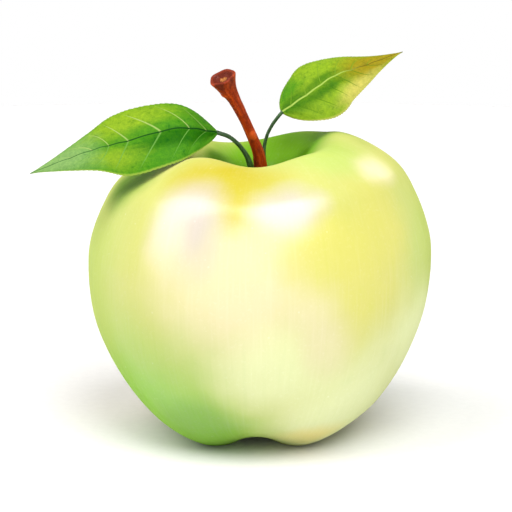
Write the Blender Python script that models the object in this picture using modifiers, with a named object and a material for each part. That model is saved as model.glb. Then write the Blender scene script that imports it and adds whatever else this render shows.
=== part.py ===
"""A whole apple with its woody stem, two leaves on thin stalks, and the dried calyx underneath.

Metres, +Z up. The fruit rests on z = 0 on the flat spots of its five lobes, and the origin is
under the middle of the whole piece: fruit, stem and leaves together. Sizes below are in
millimetres, and every piece is drawn from the point where the fruit's own axis meets z = 0.
"""

import math

import bmesh
import bpy
from mathutils import Vector

MM = 0.001
FRUIT_AXIS = (5.4, -0.3, 0.0)

# Half of the fruit's upright section, from the basin floor round to the cavity floor:
# radius, height, then the share of each lobe's swell, rise and drop that reaches it.
SECTION = (
    (0.0, 10.5, 0.0, 0.0, 0.0),  # basin floor
    (6.0, 8.0, 0.0, 0.0, 0.5),  # basin wall
    (12.5, 4.5, 0.0, 0.0, 1.0),  # foot
    (27.0, 10.0, 0.25, 0.0, 0.65),  # under the cheek
    (36.5, 26.0, 0.75, 0.0, 0.1),  # lower cheek
    (38.0, 44.0, 1.0, 0.0, 0.0),  # widest
    (34.5, 57.0, 0.75, 0.25, 0.0),  # upper cheek
    (30.0, 62.5, 0.25, 0.75, 0.0),  # shoulder
    (19.0, 67.0, 0.0, 1.0, 0.0),  # crest
    (10.5, 64.0, 0.0, 0.5, 0.0),  # cavity mouth
    (5.0, 59.5, 0.0, 0.1, 0.0),  # cavity funnel
    (0.0, 57.0, 0.0, 0.0, 0.0),  # cavity floor
)

# Each lobe: direction in degrees from +X, swell of its cheek, rise of its shoulder and drop
# of its foot. The skin is pressed flat where a foot would reach below z = 0.
LOBES = (
    (-50.0, 0.4, 2.4, 5.5),
    (6.0, 3.6, 4.2, 5.0),
    (55.0, 3.0, 2.6, 5.2),
    (149.0, 4.8, 3.4, 5.7),
    (229.0, 2.0, 3.2, 5.7),
)
LOBE_NARROWNESS = 7.0
LOPSIDED = 0.06
FULL_HEIGHT = 75.0

# Stem: the line it follows from the cavity floor, with the radius at each point.
STEM_LINE = (
    (0.9, 0.3, 58.8, 1.8),
    (1.2, 0.2, 61.5, 1.65),
    (1.0, 0.0, 64.9, 1.6),
    (0.4, -1.0, 68.6, 1.4),
    (-1.0, -2.5, 72.5, 1.2),
    (-3.0, -4.7, 77.4, 1.2),
    (-5.2, -7.2, 82.2, 1.5),
    (-6.6, -8.7, 84.9, 2.1),
    (-7.8, -10.0, 87.6, 3.0),
)
# The cut end: how far each ring of the dish lies under the rim, and its radius.
STEM_DISH = ((-0.1, 2.6), (-0.7, 1.9), (-1.0, 0.9))

LEFT_STALK_LINE = (
    (-1.2, -1.3, 64.6, 0.7),
    (-2.1, -2.0, 67.4, 0.6),
    (-3.4, -2.5, 69.6, 0.5),
    (-4.9, -3.1, 71.4, 0.5),
    (-6.7, -3.7, 72.8, 0.5),
    (-8.85, -4.1, 73.65, 0.6),
)
RIGHT_STALK_LINE = (
    (1.7, 2.6, 64.0, 0.65),
    (1.7, 2.8, 67.1, 0.5),
    (1.9, 2.9, 69.3, 0.42),
    (2.4, 2.8, 71.5, 0.4),
    (3.2, 2.7, 73.4, 0.4),
    (4.4, 2.4, 75.4, 0.42),
    (5.8, 2.15, 77.3, 0.5),
)

LEFT_MIDRIB = (
    (-8.9, -4.1, 73.75),
    (-18.4, -7.0, 75.2),
    (-30.6, -9.0, 72.4),
    (-39.0, -10.0, 70.3),
    (-53.1, -9.0, 64.8),
)
RIGHT_MIDRIB = (
    (5.9, 2.2, 77.45),
    (12.8, 5.0, 81.8),
    (18.8, 8.0, 85.4),
    (26.4, 11.0, 87.5),
    (35.3, 13.0, 90.5),
)
LEAF_THICKNESS = 0.45

# Each sepal is drawn lying along +X from its root, then turned down into the basin.
SEPAL_LINE = ((0.0, 0.0, 0.0), (1.8, 0.0, 0.25), (3.6, 0.0, 0.3), (5.2, 0.0, 1.0))
SEPAL_RING_RADIUS = 3.0
SEPAL_ROOT_HEIGHT = 7.9
SEPAL_TURN_DOWN = 100.0
STAMENS_LINE = (
    (0.0, 0.0, 9.8, 1.1),
    (0.0, 0.0, 8.6, 0.9),
    (0.1, 0.0, 7.2, 1.2),
    (0.1, 0.1, 6.2, 1.3),
)

for old in list(bpy.data.objects):
    bpy.data.objects.remove(old, do_unlink=True)

apple = bpy.data.collections.new("apple")
bpy.context.scene.collection.children.link(apple)


def smooth_path(stations, position):
    """Value of a smooth line through the stations, at a position counted in stations."""
    first = min(int(position), len(stations) - 2)
    share = position - first
    near, far = stations[first], stations[first + 1]
    before = stations[first - 1] if first > 0 else [2 * a - b for a, b in zip(near, far)]
    if first + 2 < len(stations):
        after = stations[first + 2]
    else:
        after = [2 * b - a for a, b in zip(near, far)]
    return [
        b
        + 0.5 * share * (c - a)
        + share**2 * (a - 2.5 * b + 2 * c - 0.5 * d)
        + share**3 * (1.5 * (b - c) + 0.5 * (d - a))
        for a, b, c, d in zip(before, near, far, after)
    ]


def material(name, colour, roughness):
    made = bpy.data.materials.new(name)
    made.use_nodes = True
    shader = made.node_tree.nodes["Principled BSDF"]
    shader.inputs["Base Color"].default_value = (*colour, 1.0)
    shader.inputs["Roughness"].default_value = roughness
    return made


def add_piece(name, shape, colour, roughness, parent=None):
    """Turn a bmesh into a smooth shaded, named object with its own material."""
    bmesh.ops.recalc_face_normals(shape, faces=shape.faces)
    for face in shape.faces:
        face.smooth = True
    mesh = bpy.data.meshes.new(name)
    shape.to_mesh(mesh)
    shape.free()
    mesh.materials.append(material(name, colour, roughness))
    piece = bpy.data.objects.new(name, mesh)
    piece.parent = parent
    apple.objects.link(piece)
    return piece


# Fruit: a ball whose rings follow the section, pulled out into five uneven lobes.


def skin_point(azimuth, position):
    """Point of the skin at an azimuth in radians and a position along the section."""
    mirrored_floors = [(-r, *rest) for r, *rest in (SECTION[1], SECTION[-2])]
    stations = [mirrored_floors[0], *SECTION, mirrored_floors[1]]
    radius, height, cheek, crest, foot = smooth_path(stations, position + 1)
    for direction, swell, rise, drop in LOBES:
        turn = math.cos(azimuth - math.radians(direction)) - 1
        lobe = math.exp(LOBE_NARROWNESS * turn)
        radius += cheek * swell * lobe
        height += (crest * rise - foot * drop) * lobe
    x = radius * math.cos(azimuth)
    y = radius * math.sin(azimuth)
    height += LOPSIDED * x * height / FULL_HEIGHT
    return Vector((x, y, max(height, 0.0))) * MM


ball = bmesh.new()
bmesh.ops.create_uvsphere(ball, u_segments=64, v_segments=44, radius=1.0)
for vertex in ball.verts:
    from_top = math.acos(max(-1.0, min(1.0, vertex.co.z))) / math.pi
    around = math.atan2(vertex.co.y, vertex.co.x)
    vertex.co = skin_point(around, (1.0 - from_top) * (len(SECTION) - 1))
fruit = add_piece("fruit", ball, (0.72, 0.78, 0.2), 0.3)
fruit.location = Vector(FRUIT_AXIS) * MM


# Stem, stalks and stamens: round rods with closed ends.


def rod(line, sides, rings, end_rings=()):
    """Round rod along a line of (x, y, z, radius), with an optional dished far end."""
    circles = []
    last = len(line) - 1
    for step in range(rings + 1):
        here = last * step / rings
        x, y, z, radius = smooth_path(line, here)
        behind = Vector(smooth_path(line, max(here - 0.05, 0.0))[:3])
        ahead = Vector(smooth_path(line, min(here + 0.05, last))[:3])
        circles.append((Vector((x, y, z)), (ahead - behind).normalized(), radius))
    tip, along, _ = circles[-1]
    circles += [(tip + along * depth, along, radius) for depth, radius in end_rings]

    shape = bmesh.new()
    loops = []
    for centre, along, radius in circles:
        side = Vector((0.0, 1.0, 0.0)).cross(along).normalized()
        other = along.cross(side)
        loop = []
        for corner in range(sides):
            angle = math.tau * corner / sides
            spoke = side * math.cos(angle) + other * math.sin(angle)
            loop.append(shape.verts.new((centre + spoke * radius) * MM))
        loops.append(loop)
    for lower, upper in zip(loops, loops[1:]):
        for corner in range(sides):
            following = (corner + 1) % sides
            shape.faces.new((lower[corner], lower[following], upper[following], upper[corner]))
    shape.faces.new(loops[0])
    shape.faces.new(loops[-1])
    return shape


stem = add_piece("stem", rod(STEM_LINE, 20, 18, STEM_DISH), (0.3, 0.09, 0.03), 0.6, fruit)
left_stalk = rod(LEFT_STALK_LINE, 12, 12)
add_piece("left_leaf_stalk", left_stalk, (0.1, 0.25, 0.06), 0.5, fruit)
right_stalk = rod(RIGHT_STALK_LINE, 12, 12)
add_piece("right_leaf_stalk", right_stalk, (0.12, 0.27, 0.07), 0.5, fruit)


# Leaves and sepals: blades that widen and narrow along a midrib.


def blade(midrib, half_width, fullness, roll, bend, cells):
    """Grid whose long side follows the midrib and whose short side spreads to both margins."""
    near_root, near_tip = fullness
    fold, droop, wave = bend
    peak = near_root / (near_root + near_tip)
    full = peak**near_root * (1 - peak) ** near_tip
    last = len(midrib) - 1
    shape = bmesh.new()
    bmesh.ops.create_grid(shape, x_segments=cells[0], y_segments=cells[1], size=1.0)
    for vertex in shape.verts:
        along = 0.5 + 0.488 * vertex.co.x
        across = vertex.co.y
        centre = Vector(smooth_path(midrib, along * last))
        behind = Vector(smooth_path(midrib, (along - 0.01) * last))
        ahead = Vector(smooth_path(midrib, (along + 0.01) * last))
        forward = (ahead - behind).normalized()
        level = Vector((0.0, 0.0, 1.0)).cross(forward).normalized()
        spread = level * math.cos(roll) + forward.cross(level) * math.sin(roll)
        upward = forward.cross(spread)
        width = half_width * along**near_root * (1 - along) ** near_tip / full
        lift = width * (fold * abs(across) - droop * across**2)
        lift += wave * math.sin(3 * math.tau * along + across) * across**2 * width / half_width
        vertex.co = (centre + spread * width * across + upward * lift) * MM
    return shape


def add_blade(name, shape, colour, roughness, thickness):
    piece = add_piece(name, shape, colour, roughness, fruit)
    solid = piece.modifiers.new("thickness", "SOLIDIFY")
    solid.thickness = thickness * MM
    solid.offset = 0.0
    return piece


left_roll = math.radians(-42)
left_leaf = blade(LEFT_MIDRIB, 9.5, (0.85, 1.25), left_roll, (0.15, 0.26, 0.25), (30, 10))
add_blade("left_leaf", left_leaf, (0.12, 0.42, 0.04), 0.5, LEAF_THICKNESS)
right_roll = math.radians(37)
right_leaf = blade(RIGHT_MIDRIB, 8.5, (0.75, 1.4), right_roll, (0.15, 0.4, 0.25), (26, 10))
add_blade("right_leaf", right_leaf, (0.3, 0.5, 0.08), 0.5, LEAF_THICKNESS)

for number in range(5):
    sepal = blade(SEPAL_LINE, 1.35, (0.4, 0.9), 0.0, (0.0, -0.3, 0.0), (8, 4))
    placed = add_blade(f"sepal_{number + 1}", sepal, (0.16, 0.09, 0.04), 0.8, 0.3)
    azimuth = math.radians(20 + 72 * number)
    placed.location = SEPAL_RING_RADIUS * MM * Vector((math.cos(azimuth), math.sin(azimuth), 0))
    placed.location.z = SEPAL_ROOT_HEIGHT * MM
    placed.rotation_euler = (0.0, math.radians(SEPAL_TURN_DOWN), azimuth)
add_piece("dried_stamens", rod(STAMENS_LINE, 10, 6), (0.1, 0.06, 0.03), 0.9, fruit)
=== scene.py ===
"""A green-yellow apple with its woody stem, two leaves on thin stalks and its dried calyx.

The sections follow the apple as it grew: fruit, stem, leaf stalks, leaf blades and calyx, and
then the studio round it. Sizes are in millimetres from where the fruit's axis meets the floor.
"""

import math

import bmesh
import bpy
from mathutils import Matrix, Vector, noise


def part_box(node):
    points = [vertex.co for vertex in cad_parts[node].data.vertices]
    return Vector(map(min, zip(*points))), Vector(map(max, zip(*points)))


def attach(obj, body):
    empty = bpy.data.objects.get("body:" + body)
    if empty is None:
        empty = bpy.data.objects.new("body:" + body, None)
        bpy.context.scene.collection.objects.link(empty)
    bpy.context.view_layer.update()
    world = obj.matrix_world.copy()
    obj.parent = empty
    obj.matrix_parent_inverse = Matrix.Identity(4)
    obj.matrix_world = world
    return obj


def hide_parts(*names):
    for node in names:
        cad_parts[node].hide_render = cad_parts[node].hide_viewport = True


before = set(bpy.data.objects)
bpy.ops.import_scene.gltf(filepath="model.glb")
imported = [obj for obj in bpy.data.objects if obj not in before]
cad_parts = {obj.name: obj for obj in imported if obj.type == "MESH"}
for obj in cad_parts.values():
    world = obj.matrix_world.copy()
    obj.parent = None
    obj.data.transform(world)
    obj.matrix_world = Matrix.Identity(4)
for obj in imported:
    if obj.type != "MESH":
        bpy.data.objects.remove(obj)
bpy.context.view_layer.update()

MM = 0.001

# ---------------------------------------------------------------------------------------------
# Fruit
# Flesh grown as one piece under a thin waxy skin: five uneven lobes, a funnel shaped cavity
# where the stem leaves, and a puckered basin underneath. It stands on the flats of its lobes.

FRUIT_AXIS = Vector((5.4, -0.3, 0.0))
# From the basin floor round to the cavity floor: radius, height, and the share of each lobe's
# swell, rise and drop that reaches that ring.
FRUIT_SECTION = (
    (0.0, 10.5, 0.0, 0.0, 0.0),
    (6.0, 8.0, 0.0, 0.0, 0.5),
    (12.5, 4.5, 0.0, 0.0, 1.0),
    (27.0, 10.0, 0.25, 0.0, 0.65),
    (36.5, 26.0, 0.75, 0.0, 0.1),
    (38.0, 44.0, 1.0, 0.0, 0.0),
    (34.5, 57.0, 0.75, 0.25, 0.0),
    (30.0, 62.5, 0.25, 0.75, 0.0),
    (19.0, 67.0, 0.0, 1.0, 0.0),
    (10.5, 64.0, 0.0, 0.5, 0.0),
    (5.0, 59.5, 0.0, 0.1, 0.0),
    (0.0, 57.0, 0.0, 0.0, 0.0),
)
# Direction in degrees from +X, swell of the cheek, rise of the shoulder, drop of the foot.
FRUIT_LOBES = (
    (-50.0, 0.4, 2.4, 5.5),
    (6.0, 3.6, 4.2, 5.0),
    (55.0, 3.0, 2.6, 5.2),
    (149.0, 4.8, 3.4, 5.7),
    (229.0, 2.0, 3.2, 5.7),
)
LOBE_NARROWNESS = 7.0
LOPSIDED = 0.06
FULL_HEIGHT = 75.0


def smooth_path(stations, position):
    """Value of a smooth line through the stations, at a position counted in stations."""
    first = max(0, min(int(position), len(stations) - 2))
    share = position - first
    near, far = stations[first], stations[first + 1]
    before = stations[first - 1] if first > 0 else [2 * a - b for a, b in zip(near, far)]
    if first + 2 < len(stations):
        after = stations[first + 2]
    else:
        after = [2 * b - a for a, b in zip(near, far)]
    return [
        b
        + 0.5 * share * (c - a)
        + share**2 * (a - 2.5 * b + 2 * c - 0.5 * d)
        + share**3 * (1.5 * (b - c) + 0.5 * (d - a))
        for a, b, c, d in zip(before, near, far, after)
    ]


def skin_point(azimuth, position):
    """Point of the skin, with the pucker round the basin and the cavity and a few soft dents."""
    mirrored_floors = [(-r, *rest) for r, *rest in (FRUIT_SECTION[1], FRUIT_SECTION[-2])]
    stations = [mirrored_floors[0], *FRUIT_SECTION, mirrored_floors[1]]
    radius, height, cheek, crest, foot = smooth_path(stations, position + 1)
    for direction, swell, rise, drop in FRUIT_LOBES:
        lobe = math.exp(LOBE_NARROWNESS * (math.cos(azimuth - math.radians(direction)) - 1))
        radius += cheek * swell * lobe
        height += (crest * rise - foot * drop) * lobe
    basin_pucker = math.exp(-(((position - 1.0) / 0.6) ** 2))
    cavity_pucker = math.exp(-(((position - 9.6) / 0.8) ** 2))
    height += 0.22 * basin_pucker * math.cos(10 * azimuth + 0.6)
    height += 0.16 * cavity_pucker * math.cos(7 * azimuth + 1.9)
    x = radius * math.cos(azimuth)
    y = radius * math.sin(azimuth)
    height += LOPSIDED * x * height / FULL_HEIGHT
    here = Vector((x, y, height))
    dent = noise.noise(here / 17.0) + 0.4 * noise.noise(here / 7.0)
    swelling = 1.0 + 0.005 * cheek * dent
    pressed = 0.5 * (height + math.hypot(height, 0.25))
    return Vector((x * swelling, y * swelling, pressed))


def finish_piece(name, shape, finish, node):
    """Make a piece out of a mesh in progress, in millimetres, and let it stand for its solid."""
    for vertex in shape.verts:
        vertex.co = (vertex.co + FRUIT_AXIS) * MM
    bmesh.ops.recalc_face_normals(shape, faces=shape.faces)
    for face in shape.faces:
        face.smooth = True
    mesh = bpy.data.meshes.new(name)
    shape.to_mesh(mesh)
    shape.free()
    mesh.materials.append(finish)
    piece = bpy.data.objects.new(name, mesh)
    bpy.context.scene.collection.objects.link(piece)
    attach(piece, "root")
    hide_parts(node)
    return piece


def put(tree, kind, sockets=None, **settings):
    """Put a node in a tree: numbers and colours set its sockets, other sockets join them."""
    node = tree.nodes.new(kind)
    for label, value in settings.items():
        setattr(node, label, value)
    for label, value in (sockets or {}).items():
        if isinstance(value, bpy.types.NodeSocket):
            tree.links.new(value, node.inputs[label])
        else:
            node.inputs[label].default_value = value
    return node


def sum_up(tree, operation, *values):
    """One arithmetic node, and its answer."""
    return put(tree, "ShaderNodeMath", dict(enumerate(values)), operation=operation).outputs[0]


def ramp(tree, value, low, high, at_low=0.0, at_high=1.0):
    """Turn a value into a mask that changes smoothly between two levels."""
    sockets = {"Value": value, 1: low, 2: high, 3: at_low, 4: at_high}
    return put(tree, "ShaderNodeMapRange", sockets, interpolation_type="SMOOTHSTEP").outputs[0]


def blend(tree, amount, under, over):
    """Lay one colour over another by an amount from 0 to 1."""
    mixed = put(tree, "ShaderNodeMix", {0: amount}, data_type="RGBA")
    for socket, value in ((mixed.inputs[6], under), (mixed.inputs[7], over)):
        if isinstance(value, bpy.types.NodeSocket):
            tree.links.new(value, socket)
        else:
            socket.default_value = (*value, 1.0)
    return mixed.outputs[2]


def new_group(name, sockets_in, sockets_out):
    """Start a shader node group, and return it with its input and output nodes."""
    group = bpy.data.node_groups.new(name, "ShaderNodeTree")
    for label, kind in sockets_in.items():
        group.interface.new_socket(label, in_out="INPUT", socket_type="NodeSocket" + kind)
    for label, kind in sockets_out.items():
        group.interface.new_socket(label, in_out="OUTPUT", socket_type="NodeSocket" + kind)
    return group, group.nodes.new("NodeGroupInput").outputs, group.nodes.new("NodeGroupOutput")


def use(tree, group, sockets):
    """Place a node group in a material, and return what it puts out."""
    return put(tree, "ShaderNodeGroup", sockets, node_tree=group).outputs


def new_finish(name, roughness, **constants):
    """A material, its tree and its shader, with these constants on the shader's own sockets."""
    made = bpy.data.materials.new(name)
    made.use_nodes = True
    shader = made.node_tree.nodes["Principled BSDF"]
    shader.inputs["Roughness"].default_value = roughness
    for label, value in constants.items():
        shader.inputs[label.replace("_", " ")].default_value = value
    return made, made.node_tree, shader


# Place on the whole fruit in millimetres, so that every finish is laid out in the same sizes.
fruit_place, given, out = new_group("place on the fruit", {}, {"Position": "Vector"})
where = put(fruit_place, "ShaderNodeTexCoord").outputs["Object"]
stretched = {"Vector": where, "Location": -FRUIT_AXIS, "Scale": (1 / MM, 1 / MM, 1 / MM)}
mapped = put(fruit_place, "ShaderNodeMapping", stretched)
fruit_place.links.new(mapped.outputs[0], out.inputs["Position"])

# Soft edged patch of colour, 1 in its core and 0 past its reach.
soft_patch, given, out = new_group(
    "soft patch",
    {"Position": "Vector", "Centre": "Vector", "Reach": "Vector", "Core": "Float", "Strength": "Float"},
    {"Mask": "Float"},
)
offset = put(
    soft_patch, "ShaderNodeVectorMath", {0: given["Position"], 1: given["Centre"]}, operation="SUBTRACT"
)
scaled = put(
    soft_patch, "ShaderNodeVectorMath", {0: offset.outputs[0], 1: given["Reach"]}, operation="DIVIDE"
)
far = put(soft_patch, "ShaderNodeVectorMath", {0: scaled.outputs[0]}, operation="LENGTH")
patch = ramp(soft_patch, far.outputs["Value"], given["Core"], 1.0, given["Strength"], 0.0)
soft_patch.links.new(patch, out.inputs["Mask"])

# Unevenness of living tissue, centred on 0.5.
mottle, given, out = new_group(
    "mottle", {"Position": "Vector", "Size": "Float", "Detail": "Float"}, {"Value": "Float"}
)
fineness = sum_up(mottle, "DIVIDE", 1.0, given["Size"])
grain = {"Vector": given["Position"], "Scale": fineness, "Detail": given["Detail"], "Roughness": 0.6}
grained = put(mottle, "ShaderNodeTexNoise", grain)
mottle.links.new(grained.outputs[0], out.inputs["Value"])

# Edges of colour that wander: the place is shifted a little, differently from spot to spot.
wander, given, out = new_group(
    "wander", {"Position": "Vector", "Size": "Float", "Amount": "Float"}, {"Position": "Vector"}
)
fineness = sum_up(wander, "DIVIDE", 1.0, given["Size"])
drift = {"Vector": given["Position"], "Scale": fineness, "Detail": 2.0}
drifted = put(wander, "ShaderNodeTexNoise", drift)
centred = put(
    wander, "ShaderNodeVectorMath", {0: drifted.outputs[1], 1: (0.5, 0.5, 0.5)}, operation="SUBTRACT"
)
amount = {0: centred.outputs[0], "Scale": given["Amount"]}
shift = put(wander, "ShaderNodeVectorMath", amount, operation="SCALE")
moved = put(
    wander, "ShaderNodeVectorMath", {0: given["Position"], 1: shift.outputs[0]}, operation="ADD"
)
wander.links.new(moved.outputs[0], out.inputs["Position"])


def lay_patches(tree, position, colour, patches):
    """Lay soft patches of colour over a first colour, one after the other."""
    for centre, reach, core, strength, tint in patches:
        spot = {"Position": position, "Centre": centre, "Reach": reach, "Core": core}
        mask = use(tree, soft_patch, {**spot, "Strength": strength})["Mask"]
        colour = blend(tree, mask, colour, tint)
    return colour


# Colours of a ripening skin, from the sunny side to the green, with a painted shade and a painted
# highlight laid into it.
PALE_YELLOW = (0.45, 0.46, 0.12)
CREAM = (0.62, 0.56, 0.33)
LEMON = (0.54, 0.51, 0.10)
GOLD = (0.42, 0.36, 0.02)
PALE_LIME = (0.65, 0.70, 0.37)
LIME = (0.40, 0.50, 0.11)
MEADOW = (0.25, 0.48, 0.06)
GRASS = (0.12, 0.29, 0.01)
# dark green of the painted shade inside the cavity
PAINTED_SHADE = (0.04, 0.12, 0.0)
# pinkish white of a painted highlight round the lamps' reflections
PAINTED_HIGHLIGHT = (0.45, 0.40, 0.36)
BLUSH = (0.70, 0.58, 0.18)
RUSSET = (0.20, 0.14, 0.05)
# Ripeness of the skin, with painted highlights, painted shade and a painted leaf shadow among the
# patches: centre and reach of each patch, its core, its strength and its colour.
SKIN_PATCHES = (
    ((0, 40, 38), (46, 36, 48), 0.2, 0.85, MEADOW),  # greener back
    ((-4, -38, 44), (28, 22, 30), 0.2, 0.9, CREAM),  # cream front
    ((17, -34, 51), (17, 14, 17), 0.2, 0.8, LEMON),  # yellower towards the right
    ((42, -5, 45), (16, 34, 40), 0.1, 0.8, LIME),  # right cheek
    ((27, -22, 50), (13, 18, 26), 0.2, 0.8, LEMON),  # yellow band on it
    ((22, -22, 10), (34, 32, 30), 0.2, 0.9, PALE_LIME),  # lower right
    ((-44, -5, 42), (25, 45, 55), 0.1, 1.0, LIME),  # left cheek
    ((-21, -18, 2), (34, 38, 46), 0.3, 1.0, MEADOW),  # lower left: greener skin, darkened further as painted shade
    ((18, -14, 71), (22, 14, 8), 0.2, 0.9, LIME),  # right of the cavity's rim
    ((-9, -24, 67), (22, 13, 8), 0.3, 0.95, GOLD),  # left of it
    ((-4, -31, 62), (8, 11, 9), 0.1, 0.8, GOLD),  # and in front of it
    ((-15, -31, 58), (13, 14, 18), 0.2, 0.9, PAINTED_HIGHLIGHT),  # painted highlight on the left, pinkish white
    # painted highlight carried on down the left
    ((-19, -32, 51), (8, 11, 11), 0.1, 0.6, CREAM),
    ((8, -31, 61), (12, 10, 9), 0.2, 0.9, PAINTED_HIGHLIGHT),  # painted highlight in the middle
    ((28, -12, 66), (9, 9, 6), 0.1, 0.8, CREAM),  # painted highlight on the right shoulder
    ((6, 6, 66), (25, 24, 13), 0.45, 1.0, GRASS),  # cavity walls
    ((11, 2, 67), (7, 6, 4), 0.2, 0.7, PAINTED_SHADE),  # painted shade where the walls turn over behind the rim, right and left
    ((-9, 6, 66), (8, 6, 4), 0.2, 0.9, PAINTED_SHADE),
    ((0, 0, 58), (22, 17, 12), 0.3, 0.9, PAINTED_SHADE),  # painted shade deep in the cavity funnel
    ((-29, -5, 63), (12, 15, 11), 0.3, 0.85, GRASS),  # painted shadow of the left leaf on the shoulder below it
    ((38, -10, 26), (14, 24, 20), 0.2, 0.8, PALE_LIME),  # pale low on the right
    ((4, -38, 24), (22, 16, 15), 0.2, 0.8, PALE_LIME),  # and on the front
    ((14, -36, 37), (10, 12, 12), 0.1, 0.6, CREAM),
    ((23, -31, 40), (9, 12, 18), 0.1, 0.7, LEMON),  # end of the yellow band
    ((17, -34, 29), (9, 12, 11), 0.1, 0.6, CREAM),
    ((-13, -28, 9), (15, 14, 12), 0.2, 0.6, GRASS),  # green low on the left, partly real green skin and partly painted shade
    ((14, -22, 5), (13, 9, 5), 0.1, 0.7, BLUSH),  # blush by the floor
    ((0, 0, 8), (16, 16, 10), 0.3, 0.8, MEADOW),  # basin
    ((0, 0, 10), (8, 8, 7), 0.4, 0.7, RUSSET),  # russet round the calyx
)

skin, tree, shader = new_finish(
    "waxy apple skin", 0.5, Specular_IOR_Level=0.0, Coat_Roughness=0.27, Coat_IOR=1.62
)
place = use(tree, fruit_place, {})["Position"]
wandered = use(tree, wander, {"Position": place, "Size": 14.0, "Amount": 7.0})["Position"]
colour = lay_patches(tree, wandered, PALE_YELLOW, SKIN_PATCHES)

# Streaks that run down the cheeks, broad clouds of green, and a fine grain.
split = put(tree, "ShaderNodeSeparateXYZ", {0: place}).outputs
flat = put(tree, "ShaderNodeCombineXYZ", {0: split[0], 1: split[1], 2: 0.0})
bearing = put(tree, "ShaderNodeVectorMath", {0: flat.outputs[0]}, operation="NORMALIZE")
drawn_out = put(tree, "ShaderNodeCombineXYZ", {2: sum_up(tree, "MULTIPLY", split[2], 0.0012)})
streaked = put(
    tree, "ShaderNodeVectorMath", {0: bearing.outputs[0], 1: drawn_out.outputs[0]}, operation="ADD"
)
streaks = use(tree, mottle, {"Position": streaked.outputs[0], "Size": 0.022, "Detail": 3.0})["Value"]
clouds = use(tree, mottle, {"Position": place, "Size": 9.0, "Detail": 4.0})["Value"]
fine = use(tree, mottle, {"Position": place, "Size": 0.8, "Detail": 3.0})["Value"]

# Lenticels: small pale pores, one to a cell and of different sizes.
cells = put(tree, "ShaderNodeTexVoronoi", {"Vector": place, "Scale": 0.3})
size_of_dot = put(tree, "ShaderNodeSeparateColor", {0: cells.outputs["Color"]}).outputs[0]
edge_of_dot = ramp(tree, size_of_dot, 0.2, 1.0, 0.03, 0.11)
middle_of_dot = sum_up(tree, "MULTIPLY", edge_of_dot, 0.5)
lenticels = ramp(tree, cells.outputs["Distance"], edge_of_dot, middle_of_dot)

greener = put(
    tree, "ShaderNodeHueSaturation", {"Color": colour, "Hue": 0.515, "Saturation": 1.08, "Value": 0.94}
)
green_share = sum_up(
    tree, "MAXIMUM", ramp(tree, streaks, 0.5, 0.22, 0.0, 0.3), ramp(tree, clouds, 0.54, 0.85, 0.0, 0.6)
)
colour = blend(tree, green_share, colour, greener.outputs[0])
paler = put(
    tree, "ShaderNodeHueSaturation", {"Color": colour, "Saturation": 0.86, "Value": 1.08}
)
pale_share = sum_up(
    tree, "MAXIMUM", ramp(tree, streaks, 0.5, 0.78, 0.0, 0.35), ramp(tree, fine, 0.5, 0.85, 0.0, 0.6)
)
pale_share = sum_up(tree, "MAXIMUM", pale_share, lenticels)
colour = blend(tree, pale_share, colour, paler.outputs[0])
tree.links.new(colour, shader.inputs["Base Color"])

# The wax is thin in places and worn in the cavity, and its gloss is faint where the skin
# turns away.
wax = use(tree, mottle, {"Position": place, "Size": 3.0, "Detail": 3.0})["Value"]
turned = put(tree, "ShaderNodeLayerWeight", {"Blend": 0.5}).outputs["Facing"]
gloss = sum_up(
    tree, "MULTIPLY", ramp(tree, wax, 0.25, 0.75, 1.0, 0.85), ramp(tree, turned, 0.4, 0.8, 1.0, 0.15)
)
cavity = {"Position": place, "Centre": (0.0, 5.0, 63.0), "Reach": (24.0, 22.0, 12.0), "Core": 0.6}
worn = use(tree, soft_patch, {**cavity, "Strength": 0.85})["Mask"]
gloss = sum_up(tree, "MULTIPLY", gloss, sum_up(tree, "SUBTRACT", 1.0, worn))
tree.links.new(gloss, shader.inputs["Coat Weight"])
relief = sum_up(tree, "SUBTRACT", fine, sum_up(tree, "MULTIPLY", lenticels, 0.3))
bumped = put(tree, "ShaderNodeBump", {"Strength": 0.3, "Distance": 0.00006, "Height": relief})
tree.links.new(bumped.outputs[0], shader.inputs["Normal"])

ball = bmesh.new()
bmesh.ops.create_uvsphere(ball, u_segments=224, v_segments=176, radius=1.0)
for vertex in ball.verts:
    from_top = math.acos(max(-1.0, min(1.0, vertex.co.z))) / math.pi
    around = math.atan2(vertex.co.y, vertex.co.x)
    vertex.co = skin_point(around, (1.0 - from_top) * (len(FRUIT_SECTION) - 1))
finish_piece("fruit_skin", ball, skin, "fruit")

# ---------------------------------------------------------------------------------------------
# Stem
# A woody stalk that grew out of the cavity floor, leaning forward and to the left. It ends in a
# flare with a raised lip and a dished scar, where it parted from the branch.

STEM_LINE = (
    (0.9, 0.3, 58.2, 1.9),
    (1.2, 0.2, 61.5, 1.65),
    (1.0, 0.0, 64.9, 1.6),
    (0.4, -1.0, 68.6, 1.4),
    (-1.0, -2.5, 72.5, 1.2),
    (-3.0, -4.7, 77.4, 1.2),
    (-5.2, -7.2, 82.2, 1.5),
    (-6.6, -8.7, 84.9, 2.1),
    (-7.8, -10.0, 87.6, 3.0),
)
# The scar: how far each ring lies beyond the rim, and its radius, from the lip to the pith.
STEM_SCAR = (
    (0.22, 2.92),
    (0.32, 2.7),
    (0.3, 2.45),
    (0.1, 2.25),
    (-0.35, 1.95),
    (-0.65, 1.5),
    (-0.75, 1.1),
    (-0.6, 0.85),
    (-0.45, 0.65),
    (-0.55, 0.4),
    (-0.75, 0.2),
)
STEM_KNOTS = ((0.31, 2.4, 0.22), (0.52, 5.0, 0.28), (0.68, 0.9, 0.25), (0.84, 3.4, 0.2))


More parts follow.
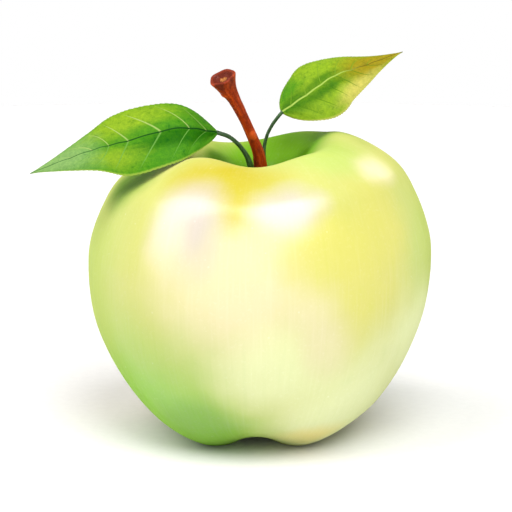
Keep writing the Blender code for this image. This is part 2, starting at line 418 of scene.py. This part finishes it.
def lathe_along(line, sides, rings, end_rings, relief):
    """Closed rod round a line of (x, y, z, radius); relief moves its side in or out.

    Each corner keeps how far along the rod it lies, its relief and, on the end
    rings, how far in from the rim it is.
    """
    circles = []
    last = len(line) - 1
    for step in range(rings + 1):
        here = last * step / rings
        x, y, z, radius = smooth_path(line, here)
        behind = Vector(smooth_path(line, max(here - 0.05, 0.0))[:3])
        ahead = Vector(smooth_path(line, min(here + 0.05, last))[:3])
        circles.append((Vector((x, y, z)), (ahead - behind).normalized(), radius, step / rings, 0.0))
    tip, forward, rim, _, _ = circles[-1]
    for depth, radius in end_rings:
        circles.append((tip + forward * depth, forward, radius, 1.0, 1.0 - radius / rim))

    shape = bmesh.new()
    layers = [shape.verts.layers.float.new(label) for label in ("lengthwise", "raised", "scar")]
    loops = []
    for centre, forward, radius, lengthwise, scar in circles:
        side = Vector((0.0, 1.0, 0.0)).cross(forward).normalized()
        other = forward.cross(side)
        loop = []
        for corner in range(sides):
            angle = math.tau * corner / sides
            raised = relief(lengthwise, angle) * (1.0 - 0.75 * scar)
            spoke = side * math.cos(angle) + other * math.sin(angle)
            dip = forward * raised * (2.0 * scar if scar > 0.0 else 0.0)
            vertex = shape.verts.new(centre + spoke * (radius + raised) + dip)
            for layer, value in zip(layers, (lengthwise, raised, scar)):
                vertex[layer] = value
            loop.append(vertex)
        loops.append(loop)
    for lower, upper in zip(loops, loops[1:]):
        for corner in range(sides):
            following = (corner + 1) % sides
            shape.faces.new((lower[corner], lower[following], upper[following], upper[corner]))
    shape.faces.new(reversed(loops[0]))
    shape.faces.new(loops[-1])
    return shape


def bark_relief(lengthwise, angle):
    """Furrows that run up the stem, a few knots, and an uneven flare."""
    spot = Vector((1.6 * math.cos(angle), 1.6 * math.sin(angle), 2.6 * lengthwise))
    furrows = 0.09 * noise.noise(spot * 1.8) + 0.05 * noise.noise(spot * 4.3)
    knots = 0.0
    for knot_height, knot_angle, knot_rise in STEM_KNOTS:
        beside = math.sin((angle - knot_angle) / 2) / 0.3
        above = (lengthwise - knot_height) / 0.025
        knots += knot_rise * math.exp(-beside * beside - above * above)
    flare = max(0.0, (lengthwise - 0.86) / 0.14) ** 2
    lobed = flare * (0.16 * math.cos(2 * angle + 0.4) + 0.12 * math.cos(5 * angle + 1.0))
    return furrows + knots + lobed


# Fibres and specks of bark: dark furrows and a fine speckle; the bark finish lays a painted highlight on
# the raised ridges.
fibres, given, out = new_group(
    "woody fibres",
    {"Position": "Vector", "Raised": "Float"},
    {"Furrow": "Float", "Speckle": "Float"},
)
squeezed = put(fibres, "ShaderNodeMapping", {"Vector": given["Position"], "Scale": (1.0, 1.0, 0.22)})
strands = use(fibres, mottle, {"Position": squeezed.outputs[0], "Size": 0.7, "Detail": 5.0})["Value"]
sunken = ramp(fibres, given["Raised"], 0.03, -0.09)
furrow = sum_up(fibres, "MULTIPLY", ramp(fibres, strands, 0.58, 0.36), 0.6)
furrow = sum_up(fibres, "MAXIMUM", furrow, sum_up(fibres, "MULTIPLY", sunken, 0.7))
fibres.links.new(furrow, out.inputs["Furrow"])
specks = use(fibres, mottle, {"Position": given["Position"], "Size": 0.35, "Detail": 4.0})["Value"]
fibres.links.new(ramp(fibres, specks, 0.52, 0.72), out.inputs["Speckle"])

bark, tree, shader = new_finish("red-brown bark", 0.5, Specular_IOR_Level=0.15)
place = use(tree, fruit_place, {})["Position"]
raised = put(tree, "ShaderNodeAttribute", attribute_name="raised").outputs["Fac"]
scar = put(tree, "ShaderNodeAttribute", attribute_name="scar").outputs["Fac"]
lengthwise = put(tree, "ShaderNodeAttribute", attribute_name="lengthwise").outputs["Fac"]
grained = use(tree, fibres, {"Position": place, "Raised": raised})
colour = blend(tree, ramp(tree, lengthwise, 0.0, 0.5), (0.17, 0.012, 0.0), (0.36, 0.031, 0.001))
colour = blend(tree, grained["Furrow"], colour, (0.055, 0.006, 0.002))
# painted highlight: the raised ridges of the bark lightened to bright orange
colour = blend(tree, ramp(tree, raised, 0.01, 0.08, 0.0, 0.6), colour, (0.68, 0.10, 0.015))
colour = blend(tree, sum_up(tree, "MULTIPLY", grained["Speckle"], 0.35), colour, (0.60, 0.10, 0.02))
colour = blend(tree, ramp(tree, lengthwise, 0.85, 1.0, 0.0, 0.5), colour, (0.08, 0.012, 0.005))
colour = blend(tree, ramp(tree, scar, 0.03, 0.12), colour, (0.17, 0.022, 0.006))
colour = blend(tree, ramp(tree, scar, 0.2, 0.32), colour, (0.11, 0.014, 0.005))
colour = blend(tree, ramp(tree, scar, 0.68, 0.8), colour, (0.34, 0.13, 0.03))
tree.links.new(colour, shader.inputs["Base Color"])
tree.links.new(ramp(tree, grained["Furrow"], 0.0, 0.7, 0.36, 0.75), shader.inputs["Roughness"])
coarse = sum_up(tree, "SUBTRACT", grained["Speckle"], grained["Furrow"])
bumped = put(tree, "ShaderNodeBump", {"Strength": 0.6, "Distance": 0.0001, "Height": coarse})
tree.links.new(bumped.outputs[0], shader.inputs["Normal"])

stem = lathe_along(STEM_LINE, 56, 130, STEM_SCAR, bark_relief)
finish_piece("stem_bark", stem, bark, "stem")

# ---------------------------------------------------------------------------------------------
# Leaf stalks
# Thin green stalks, grooved along their upper side. Each springs from the foot of the stem with
# a thickened base, and runs out into the midrib of its leaf.

LEFT_STALK_LINE = (
    (-1.0, -1.1, 64.0, 0.85),
    (-2.1, -2.0, 67.4, 0.62),
    (-3.4, -2.5, 69.6, 0.52),
    (-4.9, -3.1, 71.4, 0.5),
    (-6.7, -3.7, 72.8, 0.5),
    (-9.3, -4.2, 73.8, 0.5),
)
RIGHT_STALK_LINE = (
    (1.7, 2.5, 63.4, 0.8),
    (1.7, 2.8, 67.1, 0.52),
    (1.9, 2.9, 69.3, 0.42),
    (2.4, 2.8, 71.5, 0.4),
    (3.2, 2.7, 73.4, 0.4),
    (4.4, 2.4, 75.4, 0.4),
    (6.2, 2.3, 77.7, 0.42),
)


def stalk_relief(lengthwise, angle):
    """Groove along the upper side, faint ribs, and slight swellings along the stalk."""
    groove = -0.09 * math.exp(-((math.sin((angle - 1.6) / 2) / 0.25) ** 2))
    ribs = 0.018 * math.cos(9 * angle)
    spot = Vector((math.cos(angle), math.sin(angle), 9.0 * lengthwise))
    return groove + ribs + 0.04 * noise.noise(spot)


stalk_green, tree, shader = new_finish("green stalk", 0.42, Specular_IOR_Level=0.3)
place = use(tree, fruit_place, {})["Position"]
raised = put(tree, "ShaderNodeAttribute", attribute_name="raised").outputs["Fac"]
lengthwise = put(tree, "ShaderNodeAttribute", attribute_name="lengthwise").outputs["Fac"]
grained = use(tree, fibres, {"Position": place, "Raised": raised})
colour = blend(tree, ramp(tree, lengthwise, 0.0, 0.35), (0.035, 0.075, 0.005), (0.022, 0.065, 0.018))
colour = blend(tree, ramp(tree, raised, -0.02, 0.03), colour, (0.05, 0.12, 0.045))
colour = blend(tree, grained["Furrow"], colour, (0.01, 0.03, 0.006))
colour = blend(tree, sum_up(tree, "MULTIPLY", grained["Speckle"], 0.3), colour, (0.12, 0.19, 0.08))
tree.links.new(colour, shader.inputs["Base Color"])
tree.links.new(ramp(tree, grained["Speckle"], 0.0, 1.0, 0.38, 0.55), shader.inputs["Roughness"])
bumped = put(tree, "ShaderNodeBump", {"Strength": 0.5, "Distance": 0.00006, "Height": grained["Speckle"]})
tree.links.new(bumped.outputs[0], shader.inputs["Normal"])

left_stalk = lathe_along(LEFT_STALK_LINE, 28, 70, (), stalk_relief)
finish_piece("left_stalk_rod", left_stalk, stalk_green, "left_leaf_stalk")
right_stalk = lathe_along(RIGHT_STALK_LINE, 28, 70, (), stalk_relief)
finish_piece("right_stalk_rod", right_stalk, stalk_green, "right_leaf_stalk")

# ---------------------------------------------------------------------------------------------
# Leaf blades
# Thin pointed blades folded a little along the midrib. Side veins run from the midrib to the
# finely toothed margin, sunk in the upper face and standing out under the paler lower face.

LEFT_MIDRIB = (
    (-8.9, -4.1, 73.75),
    (-18.4, -7.0, 75.2),
    (-30.6, -9.0, 72.4),
    (-39.0, -10.0, 70.3),
    (-53.1, -9.0, 64.8),
)
RIGHT_MIDRIB = (
    (5.9, 2.2, 77.45),
    (12.8, 5.0, 81.8),
    (18.8, 8.0, 85.4),
    (26.4, 11.0, 87.5),
    (35.3, 13.0, 90.5),
)
LEAF_THICKNESS = 0.42
TEETH_A_SIDE = 44


def blade_spot(midrib, half_width, fullness, roll, bend, along, across):
    """Point of a blade's middle surface, the direction its upper face looks, and its width."""
    near_root, near_tip = fullness
    fold, droop, wave = bend
    peak = near_root / (near_root + near_tip)
    full = peak**near_root * (1 - peak) ** near_tip
    last = len(midrib) - 1
    centre = Vector(smooth_path(midrib, along * last))
    behind = Vector(smooth_path(midrib, (along - 0.01) * last))
    ahead = Vector(smooth_path(midrib, (along + 0.01) * last))
    forward = (ahead - behind).normalized()
    level = Vector((0.0, 0.0, 1.0)).cross(forward).normalized()
    spread = level * math.cos(roll) + forward.cross(level) * math.sin(roll)
    upward = forward.cross(spread)
    width = half_width * along**near_root * (1 - along) ** near_tip / full
    lift = width * (fold * abs(across) - droop * across**2)
    lift += wave * math.sin(3 * math.tau * along + across) * across**2 * width / half_width
    return centre + spread * width * across + upward * lift, upward, width


def vein_rank(veins, along, across):
    """Which side vein a spot lies on: whole numbers on the veins, and shares between them."""
    root = along - 0.16 * abs(across) ** 1.15
    if root <= veins[0]:
        return 1.0 - (veins[0] - root) / (veins[1] - veins[0])
    for number, (near, far) in enumerate(zip(veins, veins[1:]), start=1):
        if root <= far:
            return number + (root - near) / (far - near)
    return len(veins) + (root - veins[-1]) / (veins[-1] - veins[-2])


def leaf_blade(midrib, half_width, fullness, roll, bend, veins, stations=230, cells=44):
    """Closed blade: rings of an upper and a lower face, drawn from the stalk to the tip."""
    shape = bmesh.new()
    layouts = shape.verts.layers.float_vector.new("leaf_place")
    offsets = shape.verts.layers.float.new("from_midrib")
    unders = shape.verts.layers.float.new("underside")
    rings = []
    for station in range(stations + 1):
        along = 0.006 + 0.988 * station / stations
        tooth = (along * TEETH_A_SIDE) % 1.0
        ring = []
        for face, columns in ((1, range(-cells, cells + 1)), (-1, range(cells - 1, -cells, -1))):
            for column in columns:
                across = math.sin(0.5 * math.pi * column / cells)
                here, upward, width = blade_spot(
                    midrib, half_width, fullness, roll, bend, along, across
                )
                toothed = 1.0 + 0.022 * (tooth - 0.5) * abs(across) ** 8
                middle, _, _ = blade_spot(midrib, half_width, fullness, roll, bend, along, 0.0)
                here = middle + (here - middle) * toothed
                from_midrib = across * width
                rank = vein_rank(veins, along, across)
                near_vein = abs((rank + 0.5) % 1.0 - 0.5)
                fade = (1.0 - across**2) * min(1.0, width / 4.0)
                vein = math.exp(-((near_vein / 0.07) ** 2)) * fade
                puff = math.cos(math.tau * rank) * fade
                rib = math.exp(-((from_midrib / 0.45) ** 2)) * (1.0 - 0.75 * along)
                thick = 0.5 * LEAF_THICKNESS * math.sqrt(1.0 - across**2) * (1.0 - 0.4 * along)
                if face > 0:
                    height = thick - 0.07 * vein - 0.10 * puff - 0.16 * rib
                else:
                    height = -thick - 0.10 * vein - 0.10 * puff - 0.42 * rib
                vertex = shape.verts.new(here + upward * height)
                vertex[layouts] = (along, across, rank)
                vertex[offsets] = from_midrib
                vertex[unders] = 1.0 if face < 0 else 0.0
                ring.append(vertex)
        rings.append(ring)
    around = len(rings[0])
    for lower, upper in zip(rings, rings[1:]):
        for corner in range(around):
            following = (corner + 1) % around
            shape.faces.new((lower[corner], lower[following], upper[following], upper[corner]))
    for ring in (rings[0], rings[-1]):
        top = ring[: 2 * cells + 1]
        below = [top[0], *reversed(ring[2 * cells + 1 :]), top[-1]]
        for left in range(2 * cells):
            corners = [top[left], top[left + 1], below[left + 1], below[left]]
            shape.faces.new(list(dict.fromkeys(corners)))
    return shape


# Veins of a blade: the midrib, the side veins, and the fine net between them.
vein_lines, given, out = new_group(
    "vein lines",
    {"Place": "Vector", "From midrib": "Float", "Midrib width": "Float", "Vein width": "Float"},
    {"Midrib": "Float", "Veins": "Float", "Net": "Float", "Beside": "Float"},
)
split = put(vein_lines, "ShaderNodeSeparateXYZ", {0: given["Place"]}).outputs
aside = sum_up(vein_lines, "ABSOLUTE", given["From midrib"])
narrowing = ramp(vein_lines, split[0], 0.0, 1.0, 1.0, 0.35)
midrib_edge = sum_up(vein_lines, "MULTIPLY", given["Midrib width"], narrowing)
midrib = ramp(vein_lines, aside, midrib_edge, sum_up(vein_lines, "MULTIPLY", midrib_edge, 0.4))
vein_lines.links.new(midrib, out.inputs["Midrib"])
near_vein = sum_up(vein_lines, "PINGPONG", split[2], 0.5)
outward = sum_up(vein_lines, "ABSOLUTE", split[1])
narrowing = ramp(vein_lines, outward, 0.0, 1.0, 1.0, 0.35)
vein_edge = sum_up(vein_lines, "MULTIPLY", given["Vein width"], narrowing)
line = ramp(vein_lines, near_vein, vein_edge, sum_up(vein_lines, "MULTIPLY", vein_edge, 0.3))
line = sum_up(vein_lines, "MULTIPLY", line, ramp(vein_lines, outward, 0.98, 0.6))
line = sum_up(vein_lines, "MULTIPLY", line, ramp(vein_lines, split[2], 0.4, 0.6))
line = sum_up(vein_lines, "MULTIPLY", line, ramp(vein_lines, split[0], 0.93, 0.75))
vein_lines.links.new(line, out.inputs["Veins"])
vein_lines.links.new(ramp(vein_lines, near_vein, 0.30, 0.02), out.inputs["Beside"])
meshed = put(vein_lines, "ShaderNodeCombineXYZ", {1: given["From midrib"]})
vein_lines.links.new(sum_up(vein_lines, "MULTIPLY", split[0], 50.0), meshed.inputs[0])
bent = use(vein_lines, wander, {"Position": meshed.outputs[0], "Size": 1.0, "Amount": 0.8})["Position"]
net_sockets = {"Vector": bent, "Scale": 0.9}
net = put(vein_lines, "ShaderNodeTexVoronoi", net_sockets, feature="DISTANCE_TO_EDGE").outputs[0]
vein_lines.links.new(ramp(vein_lines, net, 0.10, 0.0), out.inputs["Net"])


def leaf_finish(name, ground, patches, rim, midrib_tones, vein_tones):
    """Finish of a leaf: patches of green laid out along and across it, under its veins."""
    made, tree, shader = new_finish(name, 0.45, Specular_IOR_Level=0.04)
    layout = put(tree, "ShaderNodeAttribute", attribute_name="leaf_place").outputs["Vector"]
    aside = put(tree, "ShaderNodeAttribute", attribute_name="from_midrib").outputs["Fac"]
    under = put(tree, "ShaderNodeAttribute", attribute_name="underside").outputs["Fac"]
    place = use(tree, fruit_place, {})["Position"]
    split = put(tree, "ShaderNodeSeparateXYZ", {0: layout}).outputs
    spread = put(tree, "ShaderNodeCombineXYZ", {0: split[0], 1: split[1], 2: 0.0}).outputs[0]
    wandered = use(tree, wander, {"Position": spread, "Size": 0.12, "Amount": 0.12})["Position"]
    colour = lay_patches(tree, wandered, ground, patches)
    tissue = use(tree, mottle, {"Position": place, "Size": 1.1, "Detail": 5.0})["Value"]
    lighter = {"Color": colour, "Hue": 0.49, "Value": 1.25}
    lit = put(tree, "ShaderNodeHueSaturation", lighter).outputs[0]
    colour = blend(tree, ramp(tree, tissue, 0.5, 0.75), colour, lit)
    darker = {"Color": colour, "Hue": 0.515, "Value": 0.72}
    deep = put(tree, "ShaderNodeHueSaturation", darker).outputs[0]
    colour = blend(tree, ramp(tree, tissue, 0.5, 0.25), colour, deep)
    lines = {"Place": layout, "From midrib": aside, "Midrib width": 0.32, "Vein width": 0.05}
    veins = use(tree, vein_lines, lines)
    colour = blend(tree, sum_up(tree, "MULTIPLY", veins["Net"], 0.5), colour, lit)
    vein_colour = blend(tree, ramp(tree, split[1], -0.1, 0.1), vein_tones[0], vein_tones[1])
    colour = blend(tree, sum_up(tree, "MULTIPLY", veins["Veins"], 0.8), colour, vein_colour)
    edge_colour, edge_from, edge_to = rim
    colour = blend(tree, ramp(tree, split[1], edge_from, edge_to, 0.0, 0.6), colour, edge_colour)
    midrib_colour = blend(tree, ramp(tree, split[0], 0.5, 0.75), midrib_tones[0], midrib_tones[1])
    colour = blend(tree, veins["Midrib"], colour, midrib_colour)
    pale = blend(tree, 0.65, colour, (0.24, 0.36, 0.12))
    raised_veins = sum_up(tree, "MAXIMUM", veins["Veins"], veins["Midrib"])
    pale = blend(tree, raised_veins, pale, (0.34, 0.43, 0.17))
    colour = blend(tree, under, colour, pale)
    tree.links.new(colour, shader.inputs["Base Color"])
    tree.links.new(ramp(tree, tissue, 0.2, 0.8, 0.38, 0.56), shader.inputs["Roughness"])
    relief = sum_up(tree, "SUBTRACT", tissue, sum_up(tree, "MULTIPLY", veins["Net"], 0.5))
    relief = sum_up(tree, "SUBTRACT", relief, veins["Veins"])
    bumped = put(tree, "ShaderNodeBump", {"Strength": 0.5, "Distance": 0.0001, "Height": relief})
    tree.links.new(bumped.outputs[0], shader.inputs["Normal"])
    return made


# Greens of the two blades, and the yellows where the right one has begun to turn.
LEAF_DEEP = (0.01, 0.09, 0.0)
LEAF_GREEN = (0.04, 0.17, 0.005)
LEAF_LIME = (0.15, 0.26, 0.01)
LEAF_TIP = (0.15, 0.27, 0.08)
LEAF_OLIVE = (0.20, 0.16, 0.005)
LEAF_STRAW = (0.42, 0.38, 0.08)
LEFT_PATCHES = (
    ((0.50, -0.65, 0), (0.45, 0.75, 1), 0.2, 1.0, LEAF_LIME),  # lime far half
    ((0.05, 0.0, 0), (0.30, 1.3, 1), 0.3, 0.9, LEAF_GREEN),  # green by the stalk
    ((0.30, -0.12, 0), (0.35, 0.30, 1), 0.1, 0.8, LEAF_GREEN),  # shade above the midrib
    ((0.25, 0.30, 0), (0.32, 0.45, 1), 0.2, 0.95, LEAF_DEEP),  # and below it
    ((0.30, 0.85, 0), (0.35, 0.50, 1), 0.2, 0.9, LEAF_GREEN),  # near margin
    ((0.60, 0.50, 0), (0.25, 0.60, 1), 0.1, 0.9, LEAF_LIME),
    ((0.12, 0.30, 0), (0.30, 0.50, 1), 0.2, 0.95, LEAF_DEEP),  # deep green at the foot
    ((0.95, 0.0, 0), (0.35, 1.8, 1), 0.3, 0.9, LEAF_TIP),  # pale tip
)
left_green = leaf_finish(
    "left leaf",
    LEAF_GREEN,
    LEFT_PATCHES,
    ((0.28, 0.36, 0.05), 0.93, 0.98),
    ((0.003, 0.045, 0.003), (0.02, 0.08, 0.015)),
    ((0.27, 0.36, 0.10), (0.10, 0.25, 0.04)),
)
LEFT_VEINS = (0.07, 0.18, 0.33, 0.48, 0.61, 0.73, 0.83)
left_leaf = leaf_blade(
    LEFT_MIDRIB, 9.5, (0.85, 1.25), math.radians(-42), (0.15, 0.26, 0.25), LEFT_VEINS
)
finish_piece("left_leaf_blade", left_leaf, left_green, "left_leaf")

RIGHT_PATCHES = (
    ((0.05, 0.0, 0), (0.30, 1.0, 1), 0.2, 0.8, LEAF_DEEP),  # green by the stalk
    ((0.15, 0.70, 0), (0.22, 0.50, 1), 0.2, 0.9, LEAF_GREEN),  # far half of its foot
    ((0.38, -0.22, 0), (0.38, 0.32, 1), 0.1, 0.8, LEAF_DEEP),  # shade below the midrib
    ((0.40, 0.12, 0), (0.30, 0.22, 1), 0.1, 0.7, LEAF_DEEP),  # and above it
    ((0.85, 0.0, 0), (0.42, 1.4, 1), 0.3, 0.95, LEAF_OLIVE),  # gone yellow at the tip
    ((0.60, -0.85, 0), (0.35, 0.55, 1), 0.1, 0.85, LEAF_STRAW),  # pale near margin
    ((0.40, 0.75, 0), (0.28, 0.40, 1), 0.1, 0.8, LEAF_LIME),  # lit far margin
    ((1.0, 0.0, 0), (0.06, 2.0, 1), 0.3, 0.6, LEAF_STRAW),  # dry point
)
right_green = leaf_finish(
    "right leaf",
    LEAF_LIME,
    RIGHT_PATCHES,
    ((0.38, 0.38, 0.08), -0.93, -0.98),
    ((0.25, 0.36, 0.06), (0.09, 0.07, 0.004)),
    ((0.05, 0.14, 0.004), (0.12, 0.23, 0.012)),
)
RIGHT_VEINS = (0.08, 0.21, 0.36, 0.50, 0.63, 0.75, 0.85)
right_leaf = leaf_blade(
    RIGHT_MIDRIB, 8.5, (0.75, 1.4), math.radians(37), (0.15, 0.4, 0.25), RIGHT_VEINS
)
finish_piece("right_leaf_blade", right_leaf, right_green, "right_leaf")

# ---------------------------------------------------------------------------------------------
# Calyx
# What is left of the flower in the basin: five dried sepals that curl inwards, brown with a
# grey down, and a tuft of dead stamens between them.

SEPAL_LINE = ((-1.5, 0.0, -0.1), (0.6, 0.0, 0.1), (2.6, 0.0, 0.3), (5.2, 0.0, 1.0))
SEPAL_RING_RADIUS = 3.0
SEPAL_ROOT_HEIGHT = 7.9
SEPAL_TURN_DOWN = 100
FILAMENTS = 19


def sepal_blade(number):
    """Narrow pointed blade, cupped and crumpled as it dried, and stood up round the ring."""
    azimuth = math.radians(20 + 72 * number)
    turn = Matrix.Rotation(azimuth, 3, "Z") @ Matrix.Rotation(math.radians(SEPAL_TURN_DOWN), 3, "Y")
    root = Vector((math.cos(azimuth), math.sin(azimuth), 0.0)) * SEPAL_RING_RADIUS
    root.z = SEPAL_ROOT_HEIGHT
    veins = (0.1, 0.4, 0.7)
    shape = leaf_blade(SEPAL_LINE, 1.4, (0.35, 0.9), 0.0, (0.0, -0.3, 0.05), veins, 40, 10)
    for vertex in shape.verts:
        crumple = noise.noise(vertex.co * 1.3 + Vector((0, 0, 7.0 * number)))
        vertex.co.z = 0.62 * vertex.co.z + 0.25 * crumple
        vertex.co = turn @ vertex.co + root
    return shape


dried, tree, shader = new_finish("dried calyx", 0.85)
place = use(tree, fruit_place, {})["Position"]
down = use(tree, mottle, {"Position": place, "Size": 0.35, "Detail": 5.0})["Value"]
blotch = use(tree, mottle, {"Position": place, "Size": 1.6, "Detail": 3.0})["Value"]
colour = blend(tree, ramp(tree, blotch, 0.35, 0.65), (0.10, 0.05, 0.02), (0.22, 0.13, 0.05))
colour = blend(tree, ramp(tree, down, 0.5, 0.75, 0.0, 0.6), colour, (0.40, 0.34, 0.22))
tree.links.new(colour, shader.inputs["Base Color"])
tree.links.new(ramp(tree, down, 0.3, 0.7, 0.7, 0.95), shader.inputs["Roughness"])
bumped = put(tree, "ShaderNodeBump", {"Strength": 0.8, "Distance": 0.00015, "Height": down})
tree.links.new(bumped.outputs[0], shader.inputs["Normal"])

for number in range(5):
    name = f"sepal_{number + 1}"
    finish_piece(name + "_dried", sepal_blade(number), dried, name)

tuft = bmesh.new()
for number in range(FILAMENTS):
    azimuth = 2.4 * number
    fan = 1.15 * math.sqrt((number + 0.5) / FILAMENTS)
    outward = Vector((math.cos(azimuth), math.sin(azimuth), 0.0)) * fan
    bend = Vector((noise.noise(outward * 3.0), noise.noise(outward * 5.0), 0.0)) * 0.5
    foot = Vector((0.0, 0.0, 10.2)) + outward * 0.55
    tip = Vector((0.0, 0.0, 6.15 + 0.9 * noise.noise(outward * 9.0) ** 2)) + outward + bend * 0.3
    line = [(*foot, 0.17), (*foot.lerp(tip, 0.5), 0.12), (*foot.lerp(tip, 0.85), 0.13), (*tip, 0.2)]
    line[1] = (line[1][0] + bend.x, line[1][1] + bend.y, *line[1][2:])
    filament = lathe_along(line, 8, 14, ((0.08, 0.12),), lambda lengthwise, angle: 0.0)
    part = bpy.data.meshes.new("filament")
    filament.to_mesh(part)
    filament.free()
    tuft.from_mesh(part)
    bpy.data.meshes.remove(part)
finish_piece("stamen_tuft", tuft, dried, "dried_stamens")

# ---------------------------------------------------------------------------------------------
# Studio
# A pale floor in a white room that is dimmer overhead, and soft boxes at the front right, the
# left and the back right. The camera looks along +Y, a little down.

FLOOR_RADIUS = 0.5

floor_finish, tree, shader = new_finish("pale floor", 0.7, Specular_IOR_Level=0.1)
place = use(tree, fruit_place, {})["Position"]
paper = use(tree, mottle, {"Position": place, "Size": 2.0, "Detail": 3.0})["Value"]
colour = blend(tree, ramp(tree, paper, 0.3, 0.7), (0.74, 0.74, 0.735), (0.76, 0.76, 0.755))
far_out = put(tree, "ShaderNodeVectorMath", {0: place}, operation="LENGTH").outputs["Value"]
colour = blend(tree, ramp(tree, far_out, 130.0, 350.0), colour, (0.96, 0.96, 0.96))
tree.links.new(colour, shader.inputs["Base Color"])
plate = bmesh.new()
bmesh.ops.create_circle(plate, cap_ends=True, radius=FLOOR_RADIUS, segments=96)
floor_mesh = bpy.data.meshes.new("floor")
plate.to_mesh(floor_mesh)
plate.free()
floor_mesh.materials.append(floor_finish)
floor = bpy.data.objects.new("floor", floor_mesh)
bpy.context.scene.collection.objects.link(floor)

room = bpy.data.worlds.new("bright room")
room.use_nodes = True
tree = room.node_tree
outlook = put(tree, "ShaderNodeTexCoord").outputs["Generated"]
upward = put(tree, "ShaderNodeSeparateXYZ", {0: outlook}).outputs[2]
overhead = ramp(tree, upward, 0.05, 0.4)
tree.links.new(
    blend(tree, overhead, (1.0, 1.0, 1.0), (0.4, 0.4, 0.4)), tree.nodes["Background"].inputs["Color"]
)
bpy.context.scene.world = room

fruit_low, fruit_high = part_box("fruit")
fruit_middle = (fruit_low + fruit_high) / 2


SOFT_BOX_DISTANCE = 0.8


def soft_box(name, direction, width, height, radiance, colour):
    """Oval area lamp that faces the fruit; its power gives the radiance asked for."""
    lamp = bpy.data.lights.new(name, "AREA")
    lamp.shape = "ELLIPSE"
    lamp.size = width
    lamp.size_y = height
    oval = math.pi / 4 * width * height
    lamp.energy = radiance * math.pi * oval
    lamp.color = colour
    stand = bpy.data.objects.new(name, lamp)
    towards = Vector(direction).normalized()
    stand.location = fruit_middle + towards * SOFT_BOX_DISTANCE
    stand.rotation_euler = towards.to_track_quat("Z", "Y").to_euler()
    bpy.context.scene.collection.objects.link(stand)


soft_box("front_right_box", (0.23, -0.51, 0.83), 0.61, 0.82, 6.5, (1.0, 1.0, 1.0))
soft_box("left_box", (-0.62, -0.19, 0.77), 0.6, 0.85, 4.5, (1.0, 0.94, 0.94))
soft_box("back_right_box", (0.52, 0.75, 0.5), 0.2, 0.22, 3.0, (1.0, 0.93, 0.8))

CAMERA_ELEVATION = math.radians(13)
CAMERA_DISTANCE = 0.544
LENS_LENGTH = 160.0
# The camera aims a little left of the fruit's middle and above it, to take in stem and leaves.
AIM_LEFT = 0.0007
AIM_ABOVE = 0.0068
aim = Vector((fruit_middle.x - AIM_LEFT, FRUIT_AXIS.y * MM, fruit_middle.z + AIM_ABOVE))
lens = bpy.data.cameras.new("camera")
lens.lens = LENS_LENGTH
camera = bpy.data.objects.new("camera", lens)
towards_camera = Vector((0.0, -math.cos(CAMERA_ELEVATION), math.sin(CAMERA_ELEVATION)))
camera.location = aim + towards_camera * CAMERA_DISTANCE
camera.rotation_euler = (math.pi / 2 - CAMERA_ELEVATION, 0.0, 0.0)
bpy.context.scene.collection.objects.link(camera)
bpy.context.scene.camera = camera
bpy.context.scene.view_settings.view_transform = "Standard"
